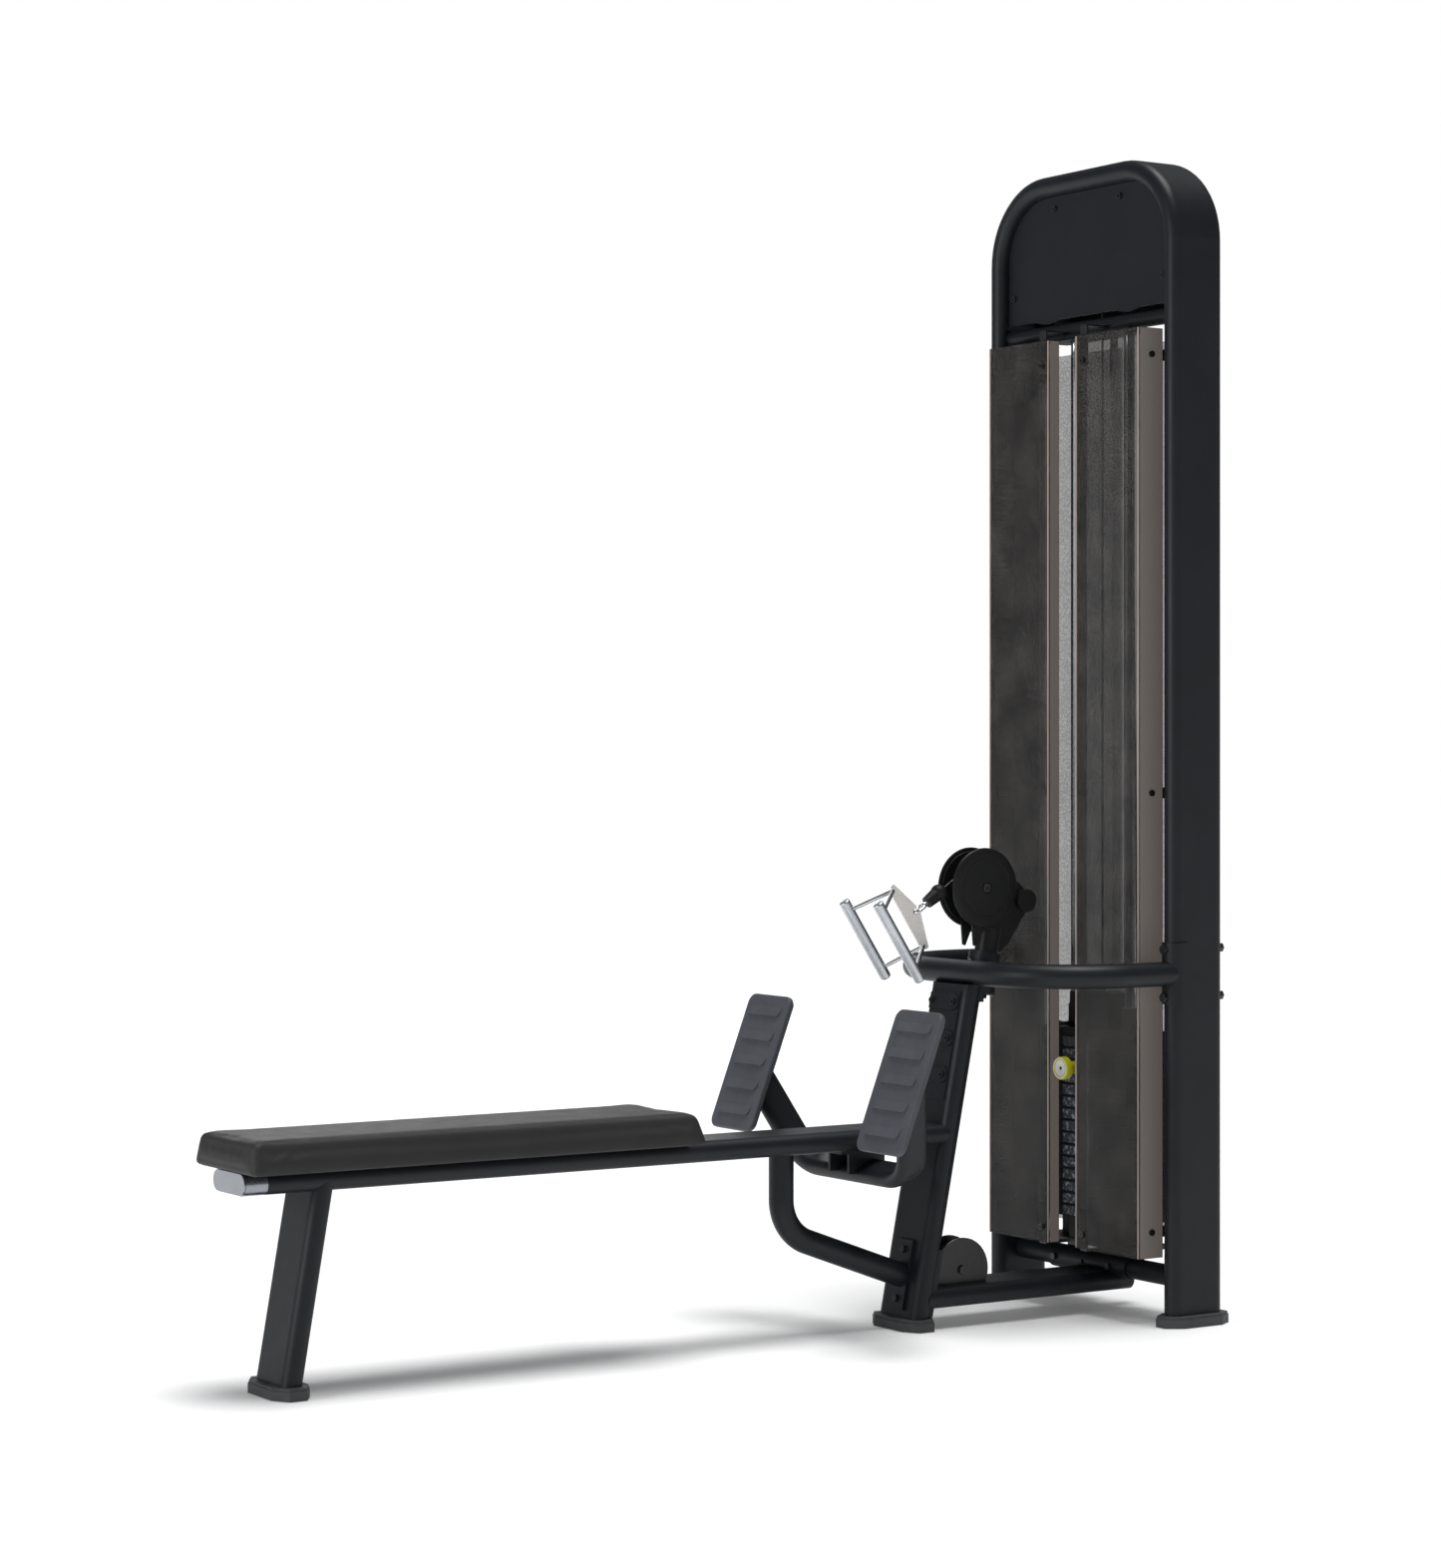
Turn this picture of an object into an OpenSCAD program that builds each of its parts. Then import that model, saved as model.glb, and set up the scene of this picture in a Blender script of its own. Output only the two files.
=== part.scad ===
// Seated cable row: a weight tower with a long flat bench, a pair of foot plates
// and a swivelling front pulley that feeds a close-grip handle.
// +Z is up, +Y points from the bench to the tower, X runs across the machine.
// The layout below is measured from the middle of the tower hoop and is moved at
// the end so that the origin lies on the floor under the middle of the machine.

/* [Tower] */
// Height of the tower hoop
tower_h = 2300; // [2200:10:2360]
// Width of the tower hoop over the outside
tower_w = 600; // [600:5:620]
// Outside radius of the hoop's top corners
corner_r = 170; // [140:5:180]

/* [Frame tube] */
// Wide side of the flat-oval frame tube
oval_w = 130; // [128:1:132]
// Narrow side of the flat-oval frame tube
oval_t = 40; // [39:0.5:41]
// Wall of the frame tubes
wall = 3; // [2:0.5:3.5]
// Diameter of the round tubes
round_d = 48; // [46:0.5:49]

/* [Bench] */
// Length of the seat pad
pad_l = 922; // [860:2:930]
// Width of the seat pad at its underside
pad_w = 246; // [220:2:260]
// Height of the seat pad's top over the floor
pad_top = 456.5; // [446:0.5:470]
// Height of the bench tube's centre over the floor
bench_z = 378; // [376:0.5:380]

/* [Foot plates] */
// Length of a foot plate
tread_l = 279; // [250:1:285]
// Width of a foot plate
tread_w = 148; // [130:1:152]
// Lean of the foot plates from upright, in degrees
tread_lean = 21; // [20:0.5:22]

/* [Weight stack] */
// Number of weight plates
plate_count = 15; // [12:1:15]
// Plates above the selector pin
pin_row = 3; // [1:1:6]
// Width of a weight plate
plate_w = 280; // [250:2:300]

/* [Cable drive] */
// Radius at which the cable runs round the lower and the swivel pulley
rope_r = 46; // [45.5:0.5:46.5]
// Diameter of the cable
cable_d = 5; // [4:0.5:6]

/* [Hidden] */
$fn = 64;
eps = 0.01;

// Powder coat, rubber and metal colours
coat = [0.17, 0.18, 0.20];
black = [0.09, 0.09, 0.10];
rubber = [0.30, 0.30, 0.31];
smoke = [0.30, 0.28, 0.27];
steel = [0.72, 0.73, 0.75];

// The rearmost and foremost points of the machine, from the middle of the hoop
back_y = 92;
pad_end_y = -1949;
frame_shift = -(back_y + pad_end_y) / 2;

// Tower
col_x = (tower_w - oval_t) / 2;
end_r = oval_t / 2;
end_y = (oval_w - oval_t) / 2;
inner_w = tower_w - 2 * oval_t;
foot_floor = 6;
foot_h = 22;
foot_grow = 15;
upper_tube = [-30, tower_h - 318];
upper_tube_d = 32;
lower_tube = [0, 87.5];
lower_tube_d = 42;
cover_y = -40;
cover_low = 2007;
cover_gap = 1;

// Shields
shield_in = 43.6;
shield_out = 241.5;
shield_low = 130;
shield_high = 1956;
shield_t = 3;
shield_front = -104;
shield_rear = 88;
rear_out = 259;
rear_low = 144;
rear_high = 1952;
tab_z = [181, 1043, 1904];
face_screw_x = 66;
face_screw_z = [160, 1905];

// Weight stack
plate_t = 23.5;
plate_pitch = 24.5;
plate_d = 108;
stack_z = 181;
stack_top = stack_z + plate_count * plate_pitch;
head_t = 15;
rod_x = 85;
rod_d = 22;
selector_d = 25;
pin_d = 9.5;
pin_z = stack_top - (pin_row - 0.5) * plate_pitch - (plate_pitch - plate_t) / 2;
head_block_h = 76;
clevis_h = 42;

// Cable drive: the riser and the swivel share one line that leans with the leg
lean = 0.2;
lean_deg = atan(lean);
function riser_y(z) = -440 + lean * z;
pulley_w = 14;
base_z = 59;
cable_gap = cable_d / 2;
top_r = 36;
bottom_r = 34;
top_c = [top_r, 2130];
bottom_c = [98 - bottom_r, base_z + bottom_r];
lower_c = [riser_y(base_z + rope_r) + rope_r / cos(lean_deg), base_z + rope_r];
swivel_c = [riser_y(855) - rope_r / cos(lean_deg), 855];
swivel_z = 735;

// Pull direction of the handle at rest, below the horizontal
pull_deg = 33.6;
hook_u = 154;
handle_u = 248;
handle_x = 57;
grip_l = 184;
grip_d = 22;

// Frame tubes
leg_foot_y = -499.5;
seat_foot_y = -1845;
seat_lean = atan(0.175);
rail_y = -360;
rail_z = 690;
rail_r = 190;
rail_bolt_z = [644, 738];
support_y = -783.5;
support_z = 205.6;
support_slope = 20.2;
support_r = 90;
footrest_c = [-602.5, 315];
footrest_x = 177;
footrest_out = 25;
footrest_r = 95;
footrest_w = 65;
footrest_t = 34;
tread_t = 20;
tread_back = tread_t;
tread_c = [-693.8, 512];
tread_x = 253;

// ---------------------------------------------------------------- helpers

module placed() { translate([0, frame_shift, 0]) children(); }
module both_sides() { for (s = [0, 1]) mirror([s, 0, 0]) children(); }
module on_leg() { translate([0, leg_foot_y, 0]) rotate([-lean_deg, 0, 0]) children(); }
module on_seat_leg() { translate([0, seat_foot_y, 0]) rotate([-seat_lean, 0, 0]) children(); }
module on_riser() { translate([0, riser_y(swivel_z), swivel_z]) rotate([-lean_deg, 0, 0]) children(); }
// Local z along the pull, local y across it and up, origin on the swivel pulley's axle
module on_pull() {
  translate([0, swivel_c[0], swivel_c[1]]) rotate([90 + pull_deg, 0, 0]) children();
}

module oval(w, t) {
  square([w - t, t], center = true);
  for (s = [-1, 1]) translate([s * (w - t) / 2, 0]) circle(d = t);
}
module oval_shell(w, t, wall) difference() { oval(w, t); oval(w - 2 * wall, t - 2 * wall); }
module x_cylinder(d, l, c = [0, 0]) {
  translate([0, c[0], c[1]]) rotate([0, 90, 0]) cylinder(d = d, h = l, center = true);
}
module y_cylinder(d, l) rotate([-90, 0, 0]) cylinder(d = d, h = l);
// Ring wall of round tube along +Z
module pipe(d, l, wall) difference() {
  cylinder(d = d, h = l);
  translate([0, 0, -1]) cylinder(d = d - 2 * wall, h = l + 2);
}
// Bend of round tube in the XY plane, starting on +X and turning about the origin
module pipe_bend(d, r, angle, wall) rotate_extrude(angle = angle, $fn = 96)
  translate([r, 0]) difference() { circle(d = d); circle(d = d - 2 * wall); }
module cable_run(a, b) {
  v = b - a;
  translate([0, a[0], a[1]]) rotate([atan2(-v[0], v[1]), 0, 0])
    translate([0, 0, -0.3]) cylinder(d = cable_d, h = norm(v) + 0.6, $fn = 24);
}
// Button-head screw along +Z, its head on the plane z = 0
module screw(shank, d = 5, head = 13) {
  difference() {
    cylinder(d = head, h = 4, $fn = 32);
    translate([0, 0, 1.6]) cylinder(d = 6, h = 4, $fn = 6);
  }
  translate([0, 0, -shank]) cylinder(d = d, h = shank + eps, $fn = 24);
}
// Hexagon bolt along +Z, its head on the plane z = 0
module bolt(shank, d = 10) {
  cylinder(d = 1.9 * d, h = 0.65 * d, $fn = 6);
  translate([0, 0, -shank]) cylinder(d = d, h = shank + eps, $fn = 32);
}
module octagon(w, l, cx, cy) {
  x = w / 2;
  y = l / 2;
  polygon([[x, y - cy], [x - cx, y], [cx - x, y], [-x, y - cy],
           [-x, cy - y], [cx - x, -y], [x - cx, -y], [x, cy - y]]);
}
// Grooved cable pulley on the X axis: r is where the cable runs, rim its outside
module grooved_pulley(r, rim, bore = 12.1) rotate([0, 90, 0]) rotate_extrude($fn = 96) polygon([
  [bore / 2, -pulley_w / 2], [rim, -pulley_w / 2], [rim, -cable_gap - 1.6],
  [r - cable_gap - 0.2, -cable_gap - 0.2], [r - cable_gap - 0.2, cable_gap + 0.2],
  [rim, cable_gap + 1.6], [rim, pulley_w / 2], [bore / 2, pulley_w / 2]]);

// ---------------------------------------------------------------- tower

module hoop_solid(w, t) {
  r = corner_r - oval_t / 2;
  both_sides() {
    translate([col_x, 0, foot_floor]) linear_extrude(tower_h - corner_r - foot_floor)
      rotate(90) oval_shell(w, t, wall);
    translate([tower_w / 2 - corner_r, 0, tower_h - corner_r]) rotate([90, 0, 0])
      rotate_extrude(angle = 90, $fn = 96) translate([r, 0]) rotate(90) oval_shell(w, t, wall);
  }
  translate([corner_r - tower_w / 2, 0, tower_h - oval_t / 2]) rotate([0, 90, 0])
    linear_extrude(tower_w - 2 * corner_r) rotate(90) oval_shell(w, t, wall);
}

module tower_hoop() placed() color(coat) difference() {
  hoop_solid(oval_w, oval_t);
  both_sides() for (z = rail_bolt_z) translate([col_x, -100, z]) y_cylinder(10.6, 200);
}

module above_floor() intersection() {
  children();
  translate([-300, -2100, foot_floor]) cube([600, 2400, 200]);
}
module foot(w, l, cx, cy) {
  linear_extrude(foot_h - 5) octagon(w, l, cx, cy);
  translate([0, 0, foot_h - 5]) linear_extrude(5) octagon(w - 4, l - 4, cx - 1, cy - 1);
}
module rubber_feet() placed() color(rubber) {
  wide = oval_w + 2 * foot_grow;
  deep = oval_t + 2 * foot_grow;
  both_sides() difference() {
    translate([col_x, 0, 0]) foot(deep, wide, 20, 32);
    translate([col_x, 0, foot_floor]) linear_extrude(foot_h) rotate(90) oval(oval_w, oval_t);
  }
  difference() {
    translate([0, leg_foot_y + 3, 0]) foot(wide, deep + 4, 32, 20);
    above_floor() leg_outer();
  }
  difference() {
    translate([0, seat_foot_y + 3, 0]) foot(wide, deep + 4, 32, 20);
    above_floor() seat_leg_outer();
  }
}

module cover_outline(gap) {
  r = corner_r - oval_t - gap;
  top = tower_h - oval_t - gap;
  side = inner_w / 2 - gap;
  translate([-side, cover_low]) square([2 * side, top - r - cover_low]);
  translate([r - side, cover_low]) square([2 * (side - r), top - cover_low]);
  for (s = [-1, 1]) translate([s * (side - r), top - r]) circle(r = r);
}
cover_screws = [[-254 + 14, 2062], [240, 2062], [-105, 2234], [105, 2234]];
tray_screws = [[-190, 2040], [190, 2040], [-190, 2205], [190, 2205]];
module top_covers() placed() color(coat) {
  difference() {
    translate([0, cover_y + 3, 0]) rotate([90, 0, 0]) linear_extrude(3) cover_outline(cover_gap);
    for (p = cover_screws) translate([p[0], cover_y - 5, p[1]]) y_cylinder(5.4, 20);
  }
  // The rear cover is a shallow tray that leaves room for the top pulley
  difference() {
    union() {
      translate([0, 40, 0]) rotate([90, 0, 0]) linear_extrude(3) cover_outline(cover_gap);
      translate([-208, 38, cover_low]) cube([416, 48, 215]);
    }
    translate([-205, 30, cover_low - 1]) cube([410, 53, 213]);
    for (p = tray_screws) translate([p[0], 80, p[1]]) y_cylinder(5.4, 20);
  }
}

// Crossbars, with the plate under the upper one that holds the guide rods' tops
module cross_tubes() placed() color(coat) {
  for (t = [[upper_tube, upper_tube_d], [lower_tube, lower_tube_d]])
    translate([-inner_w / 2, t[0][0], t[0][1]]) rotate([0, 90, 0]) pipe(t[1], inner_w, wall);
  difference() {
    translate([-140, -46, 1961]) cube([280, 66, 10]);
    for (s = [-1, 1]) translate([s * rod_x, 0, 1940]) cylinder(d = rod_d, h = 26);
    translate([0, 0, 1940]) cylinder(d = 20, h = 40);
    x_cylinder(upper_tube_d, 700, upper_tube);
  }
}

// ---------------------------------------------------------------- shields

// Front panel with a short fold beside the slot and a deep fold at the outside
module shield_profile(out, deep) polygon([
  [shield_in, 0], [out, 0], [out, deep], [out - shield_t, deep],
  [out - shield_t, shield_t], [shield_in + shield_t, shield_t],
  [shield_in + shield_t, 27], [shield_in, 27]]);
module front_panel() difference() {
  translate([0, shield_front, shield_low]) linear_extrude(shield_high - shield_low)
    shield_profile(shield_out, 61);
  for (z = face_screw_z) translate([face_screw_x, shield_front - 5, z]) y_cylinder(5.4, 12);
  for (z = tab_z) translate([shield_out - 8, -72, z]) rotate([0, 90, 0]) cylinder(d = 5.4, h = 16);
}
module left_shield() placed() color(smoke) mirror([1, 0, 0]) front_panel();
module right_shield() placed() color(smoke) front_panel();
module rear_shields() placed() color([0.75, 0.75, 0.74]) both_sides() difference() {
  translate([0, shield_rear, rear_low]) linear_extrude(rear_high - rear_low)
    mirror([0, 1]) shield_profile(rear_out, 50);
  for (z = face_screw_z)
    translate([face_screw_x, shield_rear - 8, z]) y_cylinder(5.4, 12);
  for (z = tab_z) translate([rear_out - 8, 72, z]) rotate([0, 90, 0]) cylinder(d = 5.4, h = 16);
}

// Folded tabs welded to the columns, straps from the crossbars and cover lugs
module side_tab(out, reach) {
  x = out - shield_t;
  for (z = tab_z) translate([0, 0, z - 11]) difference() {
    linear_extrude(22) polygon([
      [x - 3, 30], [inner_w / 2, 30], [inner_w / 2, 33], [x, 33], [x, reach], [x - 3, reach]]);
    translate([x - 8, 72, 11]) rotate([0, 90, 0]) cylinder(d = 5.4, h = 16);
  }
}
module face_strap(face, low, z, back) {
  x = face_screw_x - 11;
  depth = abs(back - face);
  difference() {
    union() {
      translate([x, face - 1.5, low]) cube([22, 3, 84]);
      translate([x, min(face, back) - 1.5, z]) cube([22, depth + 3, 3]);
    }
    for (s = face_screw_z) translate([face_screw_x, face - 5, s]) y_cylinder(5.4, 10);
  }
}
module shield_brackets() placed() color(black) both_sides() difference() {
  union() {
    mirror([0, 1, 0]) side_tab(shield_out, 86);
    side_tab(rear_out, 82);
    face_strap(shield_front + 4.5, 1893, 1974, upper_tube[0]);
    face_strap(shield_rear - 4.5, 1893, 1974, upper_tube[0]);
    face_strap(shield_front + 4.5, 126, 126, -42);
    face_strap(shield_rear - 4.5, 126, 126, 42);
    for (y = [cover_y + 3, 34]) {
      translate([228, y, 2050]) cube([inner_w / 2 - 228, 3, 24]);
      translate([93, y, 2222]) cube([24, 3, tower_h - oval_t - 2222]);
    }
  }
  x_cylinder(upper_tube_d, 700, upper_tube);
  for (p = cover_screws) translate([p[0], cover_y - 5, p[1]]) y_cylinder(5.4, 20);
}

module panel_screws() placed() color(black) {
  for (p = cover_screws) translate([p[0], cover_y, p[1]]) rotate([90, 0, 0]) screw(8);
  for (p = tray_screws) translate([p[0], 86, p[1]]) rotate([-90, 0, 0]) screw(8);
  both_sides() {
    for (z = face_screw_z) {
      translate([face_screw_x, shield_front, z]) rotate([90, 0, 0]) screw(8);
      translate([face_screw_x, shield_rear, z]) rotate([-90, 0, 0]) screw(8);
    }
    for (z = tab_z, e = [[shield_out, -72], [rear_out, 72]])
      translate([e[0], e[1], z]) rotate([0, 90, 0]) screw(8);
  }
  on_leg() for (z = leg_tab_z, x = leg_hole_x) translate([x, -26, z]) rotate([90, 0, 0]) screw(5.8);
}

// ---------------------------------------------------------------- weight stack

module guide_rods() placed() color(steel)
  for (s = [-1, 1]) translate([s * rod_x, 0, 137]) cylinder(d = rod_d, h = 1966 - 137);

module stack_base() placed() color(black) difference() {
  union() {
    translate([-150, -55, 129]) cube([300, 110, 8]);
    for (s = [-1, 1]) translate([s * 95 - 15, -3, 98]) cube([30, 21, 31]);
  }
  x_cylinder(lower_tube_d, 700, lower_tube);
  translate([-14, 16, 120]) cube([28, 60, 30]);
}

module stack_bumpers() placed() color(rubber) {
  for (s = [-1, 1]) translate([s * rod_x, 0, 137]) difference() {
    cylinder(d = 56, h = stack_z - 137);
    translate([0, 0, -1]) cylinder(d = rod_d, h = 60);
  }
  translate([-45, -50, 137]) cube([90, 100, stack_z - 137]);
}

module weight_plate() difference() {
  translate([-plate_w / 2, -plate_d / 2, 0]) cube([plate_w, plate_d, plate_t]);
  for (s = [-1, 1]) translate([s * rod_x, 0, -1]) cylinder(d = rod_d + 3, h = plate_t + 2);
  translate([0, 0, -1]) cylinder(d = selector_d + 4, h = plate_t + 2);
  translate([0, 1, plate_t / 2]) rotate([90, 0, 0]) cylinder(d = pin_d + 1.5, h = plate_d, $fn = 32);
}
module resting_plates() placed() color(black)
  for (i = [0:plate_count - pin_row - 1]) translate([0, 0, stack_z + i * plate_pitch]) weight_plate();
module lifted_plates() placed() color(black)
  for (i = [plate_count - pin_row:plate_count - 1])
    translate([0, 0, stack_z + i * plate_pitch]) weight_plate();

module head_plate() placed() color(black) difference() {
  union() {
    translate([-plate_w / 2, -plate_d / 2, stack_top]) cube([plate_w, plate_d, head_t]);
    translate([-62, -35, stack_top]) cube([124, 70, head_t + head_block_h - 3]);
  }
  for (s = [-1, 1]) translate([s * rod_x, 0, stack_top - 1]) cylinder(d = 32, h = 60);
  translate([0, 0, stack_top - 1]) cylinder(d = selector_d, h = 62);
  translate([0, 0, stack_top + 60]) cylinder(d = 14, h = 60);
}

module guide_bushes() placed() color([0.12, 0.12, 0.12])
  for (s = [-1, 1]) translate([s * rod_x, 0, stack_top]) difference() {
    union() {
      cylinder(d = 31.9, h = head_t + 45);
      translate([0, 0, head_t]) cylinder(d = 40, h = 5);
    }
    translate([0, 0, -1]) cylinder(d = rod_d + 0.15, h = 80);
  }

module selector_rod() placed() color(steel) difference() {
  translate([0, 0, stack_z + 4]) cylinder(d = selector_d, h = stack_top + 61 - stack_z - 4);
  for (i = [0:plate_count - 1])
    translate([0, 30, stack_z + i * plate_pitch + plate_t / 2]) rotate([90, 0, 0])
      cylinder(d = pin_d + 0.5, h = 60, $fn = 32);
}

module cable_clevis() placed() color(steel) {
  z = stack_top + head_t + head_block_h;
  translate([0, 0, stack_top + 61 + eps]) cylinder(d = 13.9, h = z + clevis_h - stack_top - 61 - eps);
  translate([0, 0, z]) cylinder(d = 24, h = 9, $fn = 6);
}

lift_low = stack_top + head_t + head_block_h + clevis_h;
module lift_cable() placed() color(black)
  translate([0, 0, lift_low]) cylinder(d = cable_d, h = top_c[1] - lift_low, $fn = 24);

// The curly cord that keeps the pin with the stack, as its outer shape
lanyard_c = [-72, -66];
lanyard_r = (stack_top + head_t + 9 - pin_z) / 2;
module lanyard() placed() color(black) {
  top = pin_z + 2 * lanyard_r;
  translate([lanyard_c[0], lanyard_c[1], pin_z + lanyard_r]) rotate([90, 0, 0])
    rotate([0, 0, 90]) rotate_extrude(angle = 180) translate([lanyard_r, 0]) circle(d = 10, $fn = 24);
  translate([lanyard_c[0], lanyard_c[1], pin_z]) rotate([0, 90, 0]) cylinder(d = 10, h = 57, $fn = 24);
  translate([lanyard_c[0], lanyard_c[1], top]) rotate([0, 90, 0]) cylinder(d = 10, h = 30, $fn = 24);
  translate([-46, lanyard_c[1], top]) y_cylinder(6, -35 - lanyard_c[1]);
}

module selector_pin() placed() color(steel)
  translate([0, -86, pin_z]) y_cylinder(pin_d, 98);

module pin_knob() placed() color([0.85, 0.8, 0.05]) translate([0, 0, pin_z]) {
  translate([0, -110, 0]) rotate([-90, 0, 0]) rotate_extrude() polygon([
    [0, 3], [14, 3], [17, 0], [20, 0], [23, 3], [23, 15], [20, 18], [0, 18]]);
  translate([0, -92 - eps, 0]) difference() {
    y_cylinder(25, 37.5);
    translate([0, 6, 0]) y_cylinder(pin_d, 40);
  }
}

// ---------------------------------------------------------------- pulleys

// Carriers of the three fixed pulleys
module top_bracket() difference() {
  union() {
    translate([-30, 0, tower_h - oval_t - 6]) cube([60, 34, 6]);
    for (s = [-1, 1]) {
      translate([s * 12 - 2, 14, top_c[1] - 22]) cube([4, 44, 100]);
      translate([s * 12 - 2, 14, top_c[1]]) cube([4, 20, tower_h - oval_t - top_c[1]]);
    }
  }
  x_cylinder(12, 60, top_c);
}
module bottom_bracket() difference() {
  for (s = [-1, 1]) translate([s * 12 - 2, -4, 80]) cube([4, 92, 42]);
  x_cylinder(lower_tube_d, 700, lower_tube);
  x_cylinder(12, 60, bottom_c);
  translate([-30, -30, 60]) cube([60, 60, 27.5]);
}
module lower_guards() difference() {
  for (s = [-1, 1]) translate([s * 23, 0, 0]) x_cylinder(126, 4, lower_c);
  translate([-50, -600, 0]) cube([100, 400, base_z + oval_t / 2]);
  x_cylinder(12, 60, lower_c);
}
module pulley_brackets() placed() color(black) {
  top_bracket();
  bottom_bracket();
  lower_guards();
}

module top_pulley() placed() color(black)
  translate([0, top_c[0], top_c[1]]) grooved_pulley(top_r, top_r + 6);

module bottom_pulley() placed() color(black)
  translate([0, bottom_c[0], bottom_c[1]]) grooved_pulley(bottom_r, bottom_r + 6);
module lower_pulley() placed() color(black)
  translate([0, lower_c[0], lower_c[1]]) grooved_pulley(rope_r, rope_r + 6);

module pulley_axles() placed() color(steel) {
  for (c = [top_c, bottom_c]) {
    x_cylinder(12, 36, c);
    for (s = [-1, 1]) translate([s * 16, 0, 0]) x_cylinder(20, 4, c, $fn = 6);
  }
  x_cylinder(12, 50, lower_c);
  for (s = [-1, 1]) translate([s * 27.5, 0, 0]) x_cylinder(20, 5, lower_c, $fn = 6);
}

// The cable from the top pulley down behind the stack, through the base tube,
// round the lower pulley and up behind the leg into the swivel
riser_top = 700;
module cable_arc(c, r, from, sweep) translate([0, c[0], c[1]]) rotate([90, 0, 90])
  rotate([0, 0, from]) rotate_extrude(angle = sweep, $fn = 96)
    translate([r, 0]) circle(d = cable_d + 0.1, $fn = 24);
module drive_cable() placed() color(black) {
  v = bottom_c - top_c;
  drop = atan2(v[0], -v[1]) + asin((top_r - bottom_r) / norm(v));
  side = [cos(drop), sin(drop)];
  leg_side = [cos(lean_deg), -sin(lean_deg)];
  cable_arc(top_c, top_r, drop, 180 - drop);
  cable_run(top_c + top_r * side, bottom_c + bottom_r * side);
  cable_arc(bottom_c, bottom_r, -90, 90 + drop);
  cable_run(bottom_c - [0, bottom_r], lower_c - [0, rope_r]);
  cable_arc(lower_c, rope_r, 180 - lean_deg, 90 + lean_deg);
  cable_run(lower_c - rope_r * leg_side, [riser_y(riser_top), riser_top]);
}

// ---------------------------------------------------------------- base and legs

module base_outer() translate([0, -480, base_z]) rotate([-90, 0, 0]) linear_extrude(510) oval(oval_w, oval_t);
module base_tube() placed() color(coat) difference() {
  union() {
    difference() {
      base_outer();
      translate([0, -500, base_z]) rotate([-90, 0, 0]) linear_extrude(560)
        oval(oval_w - 2 * wall, oval_t - 2 * wall);
    }
    on_leg() translate([-58, 10, 30]) cube([116, 16, 130]);
  }
  leg_outer();
  x_cylinder(lower_tube_d, 700, lower_tube);
  translate([-12, -435, base_z - 10]) cube([24, 125, 60]);
  on_leg() translate([-12, -10, 100]) cube([24, 60, 100]);
  translate([-12, bottom_c[0] - 44, base_z - 10]) cube([24, 60, 60]);
}

// Half sleeve that joins the base tube to the lower crossbar
module base_saddle() placed() color(coat) difference() {
  translate([-150, 0, lower_tube[1]]) rotate([0, 90, 0]) cylinder(d = lower_tube_d + 8, h = 250);
  x_cylinder(lower_tube_d, 400, lower_tube);
  translate([-200, -4, 40]) cube([400, 60, 120]);
  base_outer();
  translate([-33, -60, lower_tube[1]]) y_cylinder(9, 60);
  for (x = [-126, 50]) translate([x, -60, lower_tube[1]]) y_cylinder(8, 60);
}

module frame_bolts() placed() color(black) {
  for (x = [-126, 50]) translate([x, -lower_tube_d / 2 - 4, lower_tube[1]]) rotate([90, 0, 0]) bolt(4, 8);
  both_sides() for (z = rail_bolt_z) translate([col_x, -end_y - end_r - 5, z]) rotate([90, 0, 0]) {
    bolt(142, 10);
    translate([0, 0, -2 * (end_y + end_r) - 5 - 9]) cylinder(d = 19, h = 9, $fn = 6);
  }
  on_leg() for (z = [54, 150]) translate([0, -26, z]) rotate([90, 0, 0]) bolt(6, 8);
  for (y = pad_bolt_y) translate([0, y, board_z]) cylinder(d = 8, h = board_h);
}

module leg_outer() on_leg() translate([0, 0, -40]) linear_extrude(760) oval(oval_w, oval_t);
leg_top = 668;
module front_leg() placed() color(coat) difference() {
  on_leg() translate([0, 0, -20]) linear_extrude(leg_top + 60) oval_shell(oval_w, oval_t, wall);
  translate([-200, -700, foot_floor - 60]) cube([400, 400, 60]);
  translate([-200, -700, leg_top]) cube([400, 500, 100]);
  x_cylinder(round_d, 400, [rail_y, rail_z]);
}

leg_tab_z = [497, 569, 641];
leg_hole_x = [-38, 32];
module leg_cover() placed() color(coat) on_leg() difference() {
  union() {
    translate([-46, -23, 450]) cube([92, 3, 212]);
    for (z = leg_tab_z) {
      translate([-46, -26, z - 16]) cube([76, 4, 32]);
      translate([30, -22, z]) rotate([90, 0, 0]) cylinder(d = 32, h = 4);
    }
  }
  for (z = leg_tab_z, x = leg_hole_x) translate([x, -30, z]) y_cylinder(5.4, 12);
}

module bench_tube() placed() color(coat) difference() {
  translate([0, -1893, bench_z]) rotate([-90, 0, 0]) linear_extrude(1480)
    oval_shell(oval_w, oval_t, wall);
  on_leg() translate([0, 0, -40]) linear_extrude(760) oval(oval_w + 0.6, oval_t);
  on_leg() translate([-100, -4, -40]) cube([200, 300, 800]);
}

module end_cap() placed() color(steel) {
  translate([0, -1938, bench_z]) rotate([-90, 0, 0]) {
    linear_extrude(3) oval(oval_w - 3, oval_t - 3);
    translate([0, 0, 3]) linear_extrude(42) oval_shell(oval_w, oval_t, wall);
    translate([0, 0, 30]) linear_extrude(33) oval_shell(oval_w - 2 * wall, oval_t - 2 * wall, wall);
  }
}

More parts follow.
